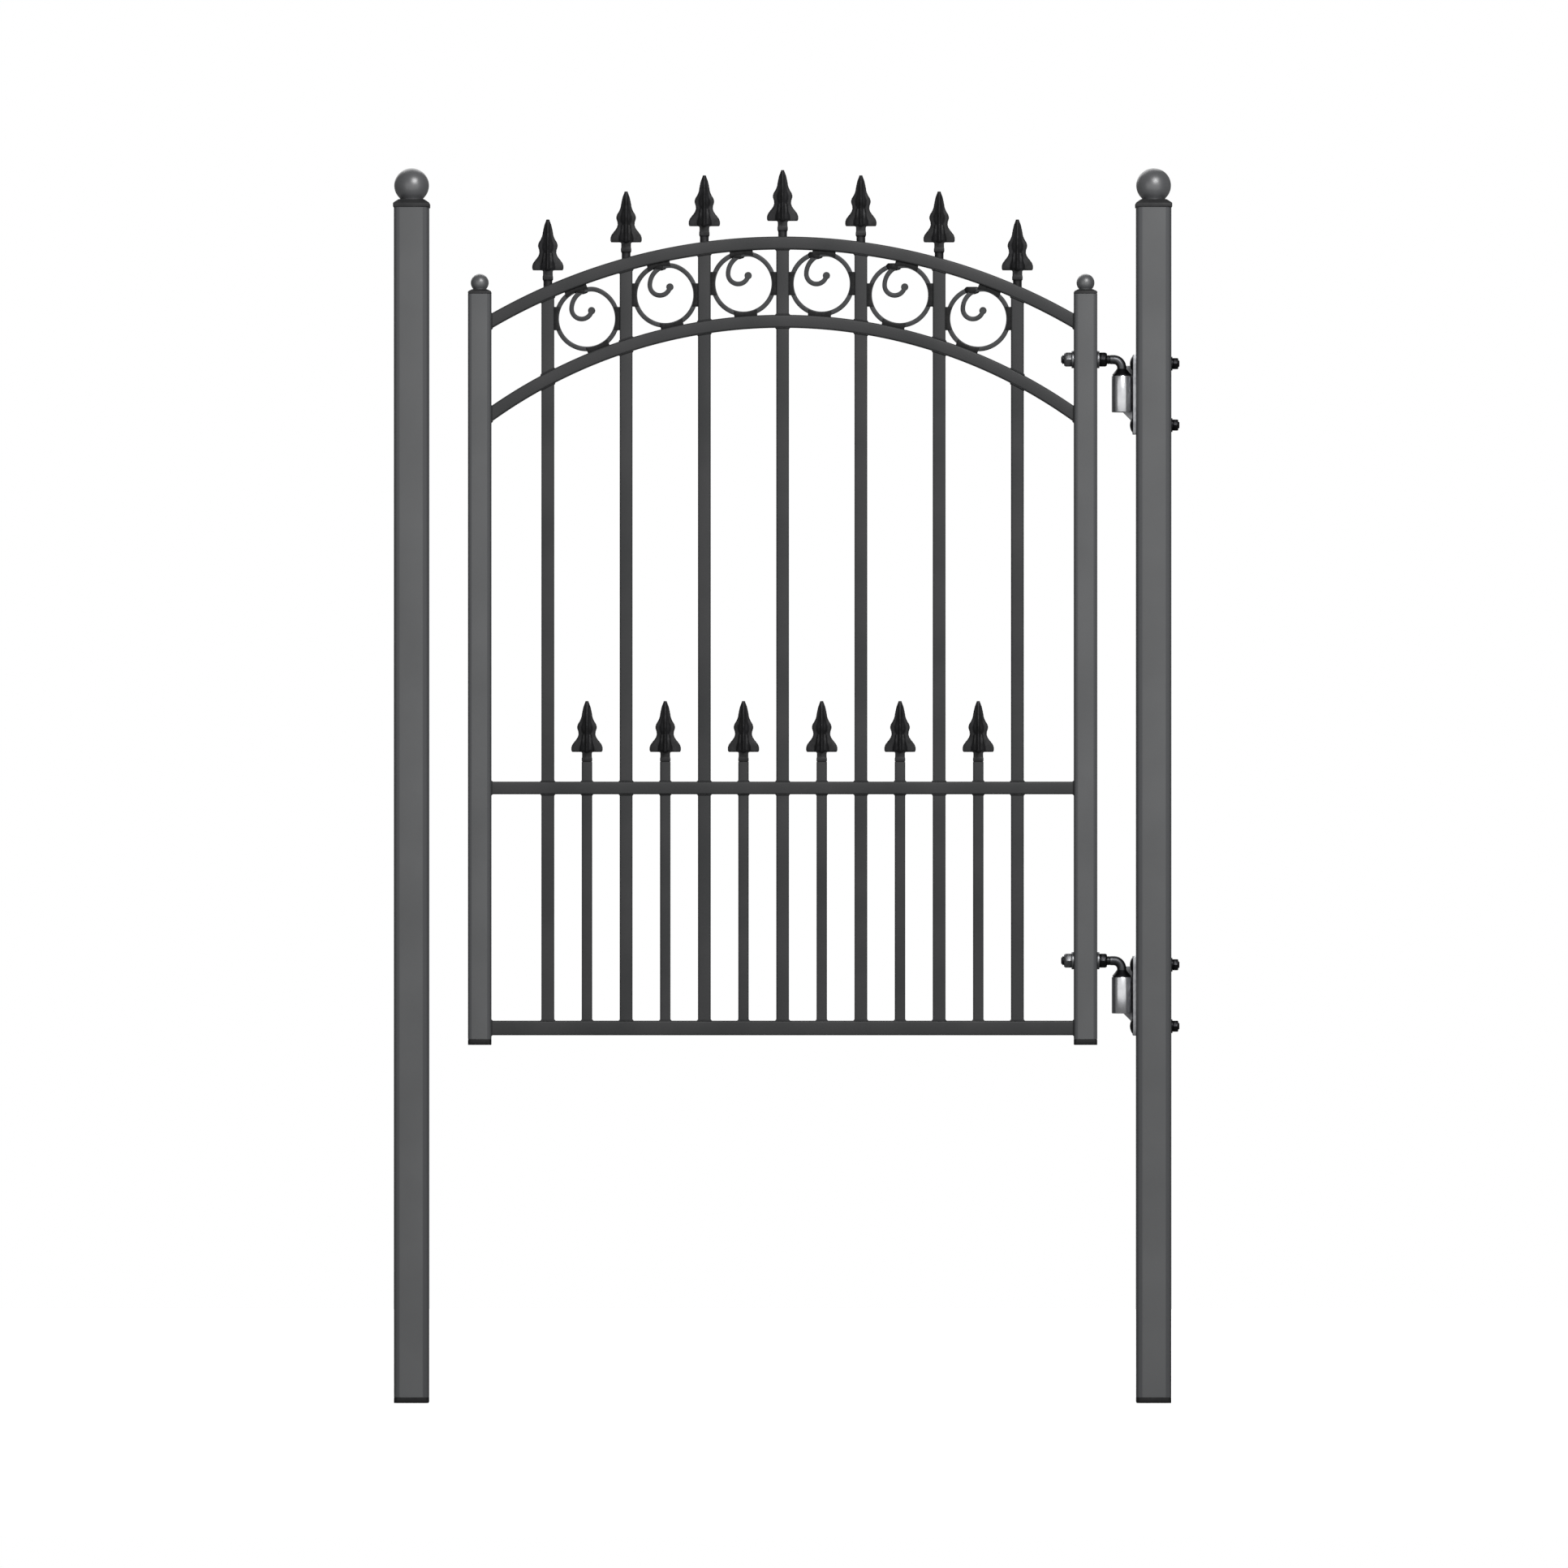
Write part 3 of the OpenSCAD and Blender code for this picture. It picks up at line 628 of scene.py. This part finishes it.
def tube_welds():
    """Fillets where pickets meet rails and arches, and where rails and arches meet stiles."""
    beads = []
    bottom_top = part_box("bottom_rail")[1].z
    mid_low, mid_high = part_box("mid_rail")[0].z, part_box("mid_rail")[1].z
    centre_x = middle("top_arch_rail").x
    rows = [(f"picket_{k}", PICKET / 2) for k in range(1, 8)]
    rows += [(f"short_picket_{k}", SHORT_PICKET / 2) for k in range(1, 7)]
    for node, half in rows:
        x = middle(node).x
        for z, turn in ((bottom_top, 0), (mid_high, 0), (mid_low, pi)):
            beads.append(fillet(node + "_bead", half, half, turn, (x, 0, z)))
        if half < PICKET / 2:
            continue
        for radius, under in ((ARCH_R["lower_arch_rail"] - RAIL_H / 2, pi),
                (ARCH_R["lower_arch_rail"] + RAIL_H / 2, 0),
                (ARCH_R["top_arch_rail"] - RAIL_H / 2, pi)):
            slope = asin((x - centre_x) / radius)
            beads.append(fillet(node + "_bead", half / cos(slope), half, under + slope,
                (x, 0, ARCH_Z + radius * cos(slope))))
    for node in ("mid_rail", "bottom_rail"):
        low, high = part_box(node)
        for x, turn in ((low.x, pi / 2), (high.x, -pi / 2)):
            beads.append(fillet(node + "_bead", (high.z - low.z) / 2, (high.y - low.y) / 2, turn,
                (x, 0, middle(node).z)))
    for node, radius in ARCH_R.items():
        low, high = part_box(node)
        slope = asin((high.x - low.x) / 2 / radius)
        for x, turn in ((low.x, pi / 2), (high.x, -pi / 2)):
            beads.append(fillet(node + "_bead", RAIL_H / 2 / cos(slope), RAIL_D / 2, turn,
                (x, 0, ARCH_Z + radius * cos(slope))))
    settle(bevelled(joined("tube_welds", beads), 0.0005, 1, 20), "leaf", "infill_tube")


def blade(name):
    """One flat blade of a spear, as wide as the outline says and thinning to its edges."""
    outline = [(0.0016, 0), (0.0034, 0.003), (0.0062, 0.010), (0.0082, 0.019), (0.0098, 0.028),
        (0.0122, 0.034), (0.0160, 0.040), (0.0172, 0.0445), (0.0166, 0.049), (0.0150, 0.0535),
        (0.0148, 0.058), (0.0160, 0.062), (0.0190, 0.0665), (0.0226, 0.071), (0.0258, 0.0755),
        (0.0274, 0.080), (0.0276, 0.084), (0.0262, 0.088)]
    half_thick = 0.0032
    smoothed_off = 0.0003
    return drawn(name, [(half + smoothed_off, half_thick, -drop)
        for half, drop in reversed(outline)], 20)


def spear_pattern(name, shank, shank_length):
    """Two crossed blades on a turned core, cast in one with a square socket and a shank."""
    along = blade(name)
    across = blade(name + "_across")
    across.rotation_euler = (0, 0, pi / 2)
    apply_place(across)
    core = turned(name + "_core", [(0.0095, -0.088), (0.0128, -0.085), (0.0124, -0.079),
        (0.0100, -0.071), (0.0078, -0.063), (0.0072, -0.057), (0.0096, -0.050),
        (0.0098, -0.044), (0.0074, -0.036), (0.0056, -0.024), (0.0040, -0.011),
        (0.0022, -0.001)], 20)
    corner = SOCKET / sqrt(2)
    socket = drawn(name + "_socket", [(corner * s, corner * s, z) for s, z in
        ((0.94, -SPEAR_DROP), (1.0, -0.104), (1.0, -0.099), (0.93, -0.097), (0.93, -0.068),
        (0.8, -0.058))], 4, turn=pi / 4)
    stem = turned(name + "_stem", [(shank * 0.5, -SPEAR_DROP - shank_length),
        (shank * 0.5, -SPEAR_DROP + 0.001)], 24)
    spear = joined(name, [along, across, core, socket, stem])
    modified(spear, "REMESH", mode="VOXEL", voxel_size=0.001, adaptivity=0.0,
        use_smooth_shade=True)
    modified(spear, "SMOOTH", factor=0.5, iterations=8)
    return spear


def spears(first, count, shank):
    """A row of spears, each on its own picket; shank is the width of the pin under its socket."""
    low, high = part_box(f"{first}_1")
    length = high.z - low.z - SPEAR_DROP
    pattern = spear_pattern(first, shank, max(length, 0.004))
    for k in range(1, count + 1):
        node = f"{first}_{k}"
        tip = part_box(node)[1].z
        settle(copied(pattern, node + "_casting", (middle(node).x, 0, tip)), "leaf",
            "cast_spear", node, smooth=60)
    bpy.data.objects.remove(pattern)


# ---- hinges and fasteners ----

def nut_pattern(name, flats, height, bore, lean):
    """A hexagon cut round at its corners, with a hole of radius bore.

    lean is how far down the outer face's chamfer reaches."""
    corner = flats / 2 / cos(pi / 6)
    nut = drawn(name, [(corner, corner, 0), (corner, corner, height)], 6)
    gauge = turned(name + "_gauge", [(flats * 0.49, -0.0001), (corner * 1.01, 0.0016),
        (corner * 1.01, height - lean), (flats * 0.49 - lean * 0.35, height + 0.0001)], 48)
    combined(nut, gauge, "INTERSECT")
    hole = turned(name + "_hole", [(bore * 1.16, -0.001), (bore, 0.001), (bore, height - 0.001),
        (bore * 1.16, height + 0.001)], 32)
    combined(nut, hole, "DIFFERENCE")
    return bevelled(nut, 0.0003, 1, 25)


def lay_along_x(piece):
    piece.rotation_euler = (0, pi / 2, 0)
    apply_place(piece)
    return piece


def j_bolt(node, arm_z):
    """A threaded arm, a tight bend and a plain leg, drawn and spun from one disc."""
    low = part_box(node)[0]
    radius = ROD / 2
    point = 0.003
    profile = [(radius - point, 0), (radius, point)]
    profile += thread(radius, ROD_PITCH, point, ARM_THREAD)
    profile.append((radius, HINGE_X - BEND - low.x))
    rod = turned(node + "_rod", profile, 32, axis="X", at=(low.x, 0, arm_z))
    bpy.ops.object.mode_set(mode="EDIT")
    pick(rod, lambda at, normal: normal.x > 0.99 and at.x > HINGE_X - BEND - 0.0005)
    bpy.ops.mesh.spin(steps=12, angle=pi / 2, center=(HINGE_X - BEND, 0, arm_z - BEND),
        axis=(0, -1, 0))
    leg = arm_z - BEND - low.z
    chamfer = 0.0015
    bpy.ops.mesh.extrude_region_move(TRANSFORM_OT_translate={"value": (0, 0, chamfer - leg)})
    bpy.ops.mesh.extrude_region_move(TRANSFORM_OT_translate={"value": (0, 0, -chamfer)})
    bpy.ops.transform.resize(value=(0.82, 0.82, 1), center_override=(HINGE_X, 0, low.z))
    face_out()
    bpy.ops.object.mode_set(mode="OBJECT")
    settle(rod, "leaf", "j_bolt", node, smooth=30)
    seat = arm_z - BARREL_DROP
    collar = turned(node + "_collar", [(COLLAR_R - 0.0006, seat + 0.0002),
        (COLLAR_R, seat + 0.0008), (COLLAR_R, seat + 0.0022), (0.0128, seat + 0.0062),
        (0.0101, seat + 0.0098), (0.0086, arm_z - COLLAR_TOP)], 40, at=(HINGE_X, 0, 0))
    settle(collar, "leaf", "dark_fastener", smooth=30)


def barrel(node):
    """A turned bush with chamfered ends, welded to the web behind it."""
    low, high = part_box(node)
    outer = (high.x - low.x) / 2
    web_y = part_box(node.replace("barrel", "plate"))[1].y - WEB
    bush = ring(node + "_bush", ROD / 2 + RUNNING_FIT, outer, high.z - low.z, 0.0012, 56,
        at=(HINGE_X, 0, low.z))
    settle(bush, "posts", "hinge_barrel", node, smooth=30)
    runs = []
    for side, x in enumerate((HINGE_X - 0.004, HINGE_X + 0.0145)):
        run = weld_run(f"{node}_weld_{side}", BARREL_WELD, wide=0.005, deep=0.005)
        run.location = (x, web_y - 0.0002, (low.z + high.z) / 2)
        runs.append(run)
    settle(joined(node + "_welds", runs), "posts", "hinge_plate")


def hinge_plate(node, arm_z):
    """A flat plate whose back edge carries a web, drawn out of the plate and sloped below."""
    low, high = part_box(node)
    plate = boxed(node + "_angle", (high.x - PLATE, low.y, low.z), high)
    web_y = high.y - WEB
    web_foot = arm_z - WEB_LOW - WEB_REACH
    bpy.ops.object.mode_set(mode="EDIT")
    for point, across in (((0, web_y, 0), (0, 1, 0)), ((0, 0, arm_z - WEB_TOP), (0, 0, 1)),
            ((0, 0, web_foot), (0, 0, 1))):
        bpy.ops.mesh.select_all(action="SELECT")
        bpy.ops.mesh.bisect(plane_co=point, plane_no=across)
    pick(plate, lambda at, normal: normal.x < -0.9 and at.y > web_y
        and web_foot < at.z < arm_z - WEB_TOP)
    bpy.ops.mesh.extrude_region_move(TRANSFORM_OT_translate={"value": (-WEB_REACH, 0, 0)})
    bpy.ops.mesh.select_mode(type="VERT")
    bpy.ops.mesh.select_all(action="DESELECT")
    shape = bmesh.from_edit_mesh(plate.data)
    for vert in shape.verts:
        vert.select = vert.co.x < high.x - PLATE - WEB_REACH / 2 and vert.co.z < web_foot + 0.001
    bmesh.update_edit_mesh(plate.data)
    bpy.ops.transform.translate(value=(0, 0, WEB_REACH))
    face_out()
    bpy.ops.object.mode_set(mode="OBJECT")
    bevelled(plate, 0.0009, 2, 30)
    settle(plate, "posts", "hinge_plate", node)


def fittings():
    """Nuts and washers, each made once and copied to its places, and the domed plate bolts.

    Returns the heights of the two J-bolts' arms."""
    arm_heights = [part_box(node)[1].z - ROD / 2 for node in ("upper_j_bolt", "lower_j_bolt")]
    stile_low, stile_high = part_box("hinge_stile")
    post_low, post_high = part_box("hinge_post")
    rod_hole = ROD / 2 + BORE_FIT
    bolt_hole = BOLT / 2 + BORE_FIT
    washer = lay_along_x(ring("washer_pattern", rod_hole, WASHER_R, WASHER_H, 0.0007))
    nut = lay_along_x(nut_pattern("nut_pattern", NUT_FLATS, NUT_H, rod_hole, 0.0045))
    small_washer = lay_along_x(ring("small_washer_pattern", bolt_hole, SMALL_WASHER_R,
        SMALL_WASHER_H, 0.0005))
    small_nut = lay_along_x(nut_pattern("small_nut_pattern", SMALL_NUT_FLATS, SMALL_NUT_H,
        bolt_hole, 0.0024))
    nuts, washers, bolts, small_nuts, small_washers = [], [], [], [], []
    for tag, arm_z in zip(("upper", "lower"), arm_heights):
        for side, face in ((-1, stile_low.x), (1, stile_high.x)):
            name = f"{tag}_{'inner' if side < 0 else 'outer'}"
            for pattern, start, group, label in ((washer, 0, washers, "washer"),
                    (nut, WASHER_H, nuts, "nut")):
                copy = copied(pattern, f"{name}_{label}", (0, 0, 0))
                if side < 0:
                    copy.rotation_euler = (0, 0, pi)
                copy.location = (face + side * start, 0, arm_z)
                group.append(copy)
        for row, drop in zip(("top", "bottom"), BOLT_DROPS):
            z = arm_z - drop
            head_x = post_low.x - PLATE
            length = post_high.x + SMALL_WASHER_H + SMALL_NUT_H + BOLT_STANDS_OUT - head_x
            cut_from = length - 0.005
            dome = [(0.0005, -0.005), (0.004, -0.0046), (0.0078, -0.0036), (0.0107, -0.0022),
                (0.0126, -0.0007), (0.013, 0.0), (0.0127, 0.0003)]
            shank = [(BOLT / 2, 0.0003), (BOLT / 2, cut_from)]
            end = thread(BOLT / 2, BOLT_PITCH, cut_from, 0.004) + [(BOLT / 2 - 0.001, length)]
            bolts.append(turned(f"{tag}_{row}_bolt", dome + shank + end, 32, axis="X",
                at=(head_x, 0, z)))
            small_washers.append(copied(small_washer, f"{tag}_{row}_washer", (post_high.x, 0, z)))
            small_nuts.append(copied(small_nut, f"{tag}_{row}_nut",
                (post_high.x + SMALL_WASHER_H, 0, z)))
    for pattern in (washer, nut, small_washer, small_nut):
        bpy.data.objects.remove(pattern)
    for group, body, slot, node in ((nuts, "leaf", "dark_fastener", "j_bolt_nuts"),
            (washers, "leaf", "washer", "j_bolt_washers"),
            (bolts, "posts", "dark_fastener", "plate_bolts"),
            (small_washers, "posts", "dark_fastener", "plate_washers"),
            (small_nuts, "posts", "dark_fastener", "plate_nuts")):
        for piece in group:
            grey = node == "j_bolt_nuts" and "inner" in piece.name
            settle(piece, body, slot, node, smooth=30, look="washer" if grey else None)
    return arm_heights


# ---- floor, lights and camera ----

def studio():
    """A white surround, a pale floor, a broad front panel, a key lamp and a dimmer back lamp.

    The surround is white to the eye but lights the gate dimly, so that the tubes' rounded
    corners and the barrels' flanks go dark."""
    scene = bpy.context.scene
    scene.view_settings.view_transform = "Standard"
    world = bpy.data.worlds.new("white surround")
    world.use_nodes = True
    scene.world = world
    tree = world.node_tree
    tree.nodes.clear()
    seen = add(tree, "ShaderNodeBackground", {"Color": (1, 1, 1, 1), "Strength": 1.0})
    light = add(tree, "ShaderNodeBackground", {"Color": (1, 1, 1, 1), "Strength": 0.16})
    ray = add(tree, "ShaderNodeLightPath")
    mix = add(tree, "ShaderNodeMixShader",
        {0: ray.outputs["Is Camera Ray"], 1: light.outputs[0], 2: seen.outputs[0]})
    add(tree, "ShaderNodeOutputWorld", {"Surface": mix.outputs[0]})
    bpy.ops.object.select_all(action="DESELECT")
    bpy.ops.mesh.primitive_plane_add(size=8, location=(-0.64, 0, -0.0002))
    floor = take("floor")
    board = bpy.data.materials.new("matt white light board")
    board.use_nodes = True
    shader = board.node_tree.nodes["Principled BSDF"]
    shader.inputs["Base Color"].default_value = linear("#f0f0f0")
    shader.inputs["Roughness"].default_value = 0.9
    shader.inputs["Specular IOR Level"].default_value = 0.0
    shader.inputs["Emission Color"].default_value = (1, 1, 1, 1)
    shader.inputs["Emission Strength"].default_value = 0.92
    floor.data.materials.append(board)
    floor.visible_diffuse = False
    floor.visible_glossy = False
    for name, place, aim, wide, tall, power in (
            ("front panel", (-0.3, -3.6, 1.75), (-0.3, 0, 1.75), 8.4, 3.4, 63),
            ("key lamp", (1.26, -5.74, 5.66), (-0.64, 0, 1.2), 3.4, 3.4, 310),
            ("back lamp", (-1.6, 6.0, 6.0), (-0.64, 0, 1.2), 7.0, 7.0, 215)):
        lamp = bpy.data.lights.new(name, "AREA")
        lamp.shape = "RECTANGLE"
        lamp.energy = power
        lamp.size = wide
        lamp.size_y = tall
        holder = bpy.data.objects.new(name, lamp)
        scene.collection.objects.link(holder)
        holder.location = place
        holder.rotation_euler = (Vector(aim) - Vector(place)).to_track_quat("-Z", "Y").to_euler()
        holder.visible_camera = False


def camera():
    """Level and square on to the gate, far enough off to show it nearly without perspective."""
    lens = 300
    sensor = 36
    view_width = 2.705
    aside = 0.0024
    eye_height = 1.0668
    data = bpy.data.cameras.new("front view")
    data.lens = lens
    data.sensor_width = sensor
    data.clip_end = 100
    eye = bpy.data.objects.new("front view", data)
    bpy.context.scene.collection.objects.link(eye)
    centre_x = (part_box("hinge_post")[0].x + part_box("closing_post")[1].x) / 2
    eye.location = (centre_x + aside, -view_width * lens / sensor, eye_height)
    eye.rotation_euler = (pi / 2, 0, 0)
    bpy.context.scene.camera = eye


# ---- the gate ----

studio()
camera()
tubes("posts", "frame_tube", POST_CORNER, "hinge_post", "closing_post")
tubes("leaf", "frame_tube", STILE_CORNER, "hinge_stile", "closing_stile")
tubes("leaf", "infill_tube", RAIL_CORNER, "mid_rail", "bottom_rail")
tubes("leaf", "infill_tube", PICKET_CORNER, *[f"picket_{k}" for k in range(1, 8)])
tubes("leaf", "infill_tube", PICKET_CORNER, *[f"short_picket_{k}" for k in range(1, 7)])
for post in ("hinge_post", "closing_post"):
    ball_cap(post + "_ball_cap", "posts", neck=0.038, ball=0.060, shoulder=0.012)
    foot_plug(post + "_foot_plug", "posts", POST_CORNER)
for stile in ("hinge_stile", "closing_stile"):
    ball_cap(stile + "_ball_cap", "leaf", neck=0.022, ball=0.031, shoulder=0.007)
    foot_plug(stile + "_foot_plug", "leaf", STILE_CORNER)
for arch in ARCH_R:
    arch_rail(arch)
scrolls()
tube_welds()
spears("top_spear", 7, shank=0.0155)
spears("low_spear", 6, shank=0.0115)
for tag, arm_z in zip(("upper", "lower"), fittings()):
    j_bolt(f"{tag}_j_bolt", arm_z)
    barrel(f"{tag}_hinge_barrel")
    hinge_plate(f"{tag}_hinge_plate", arm_z)
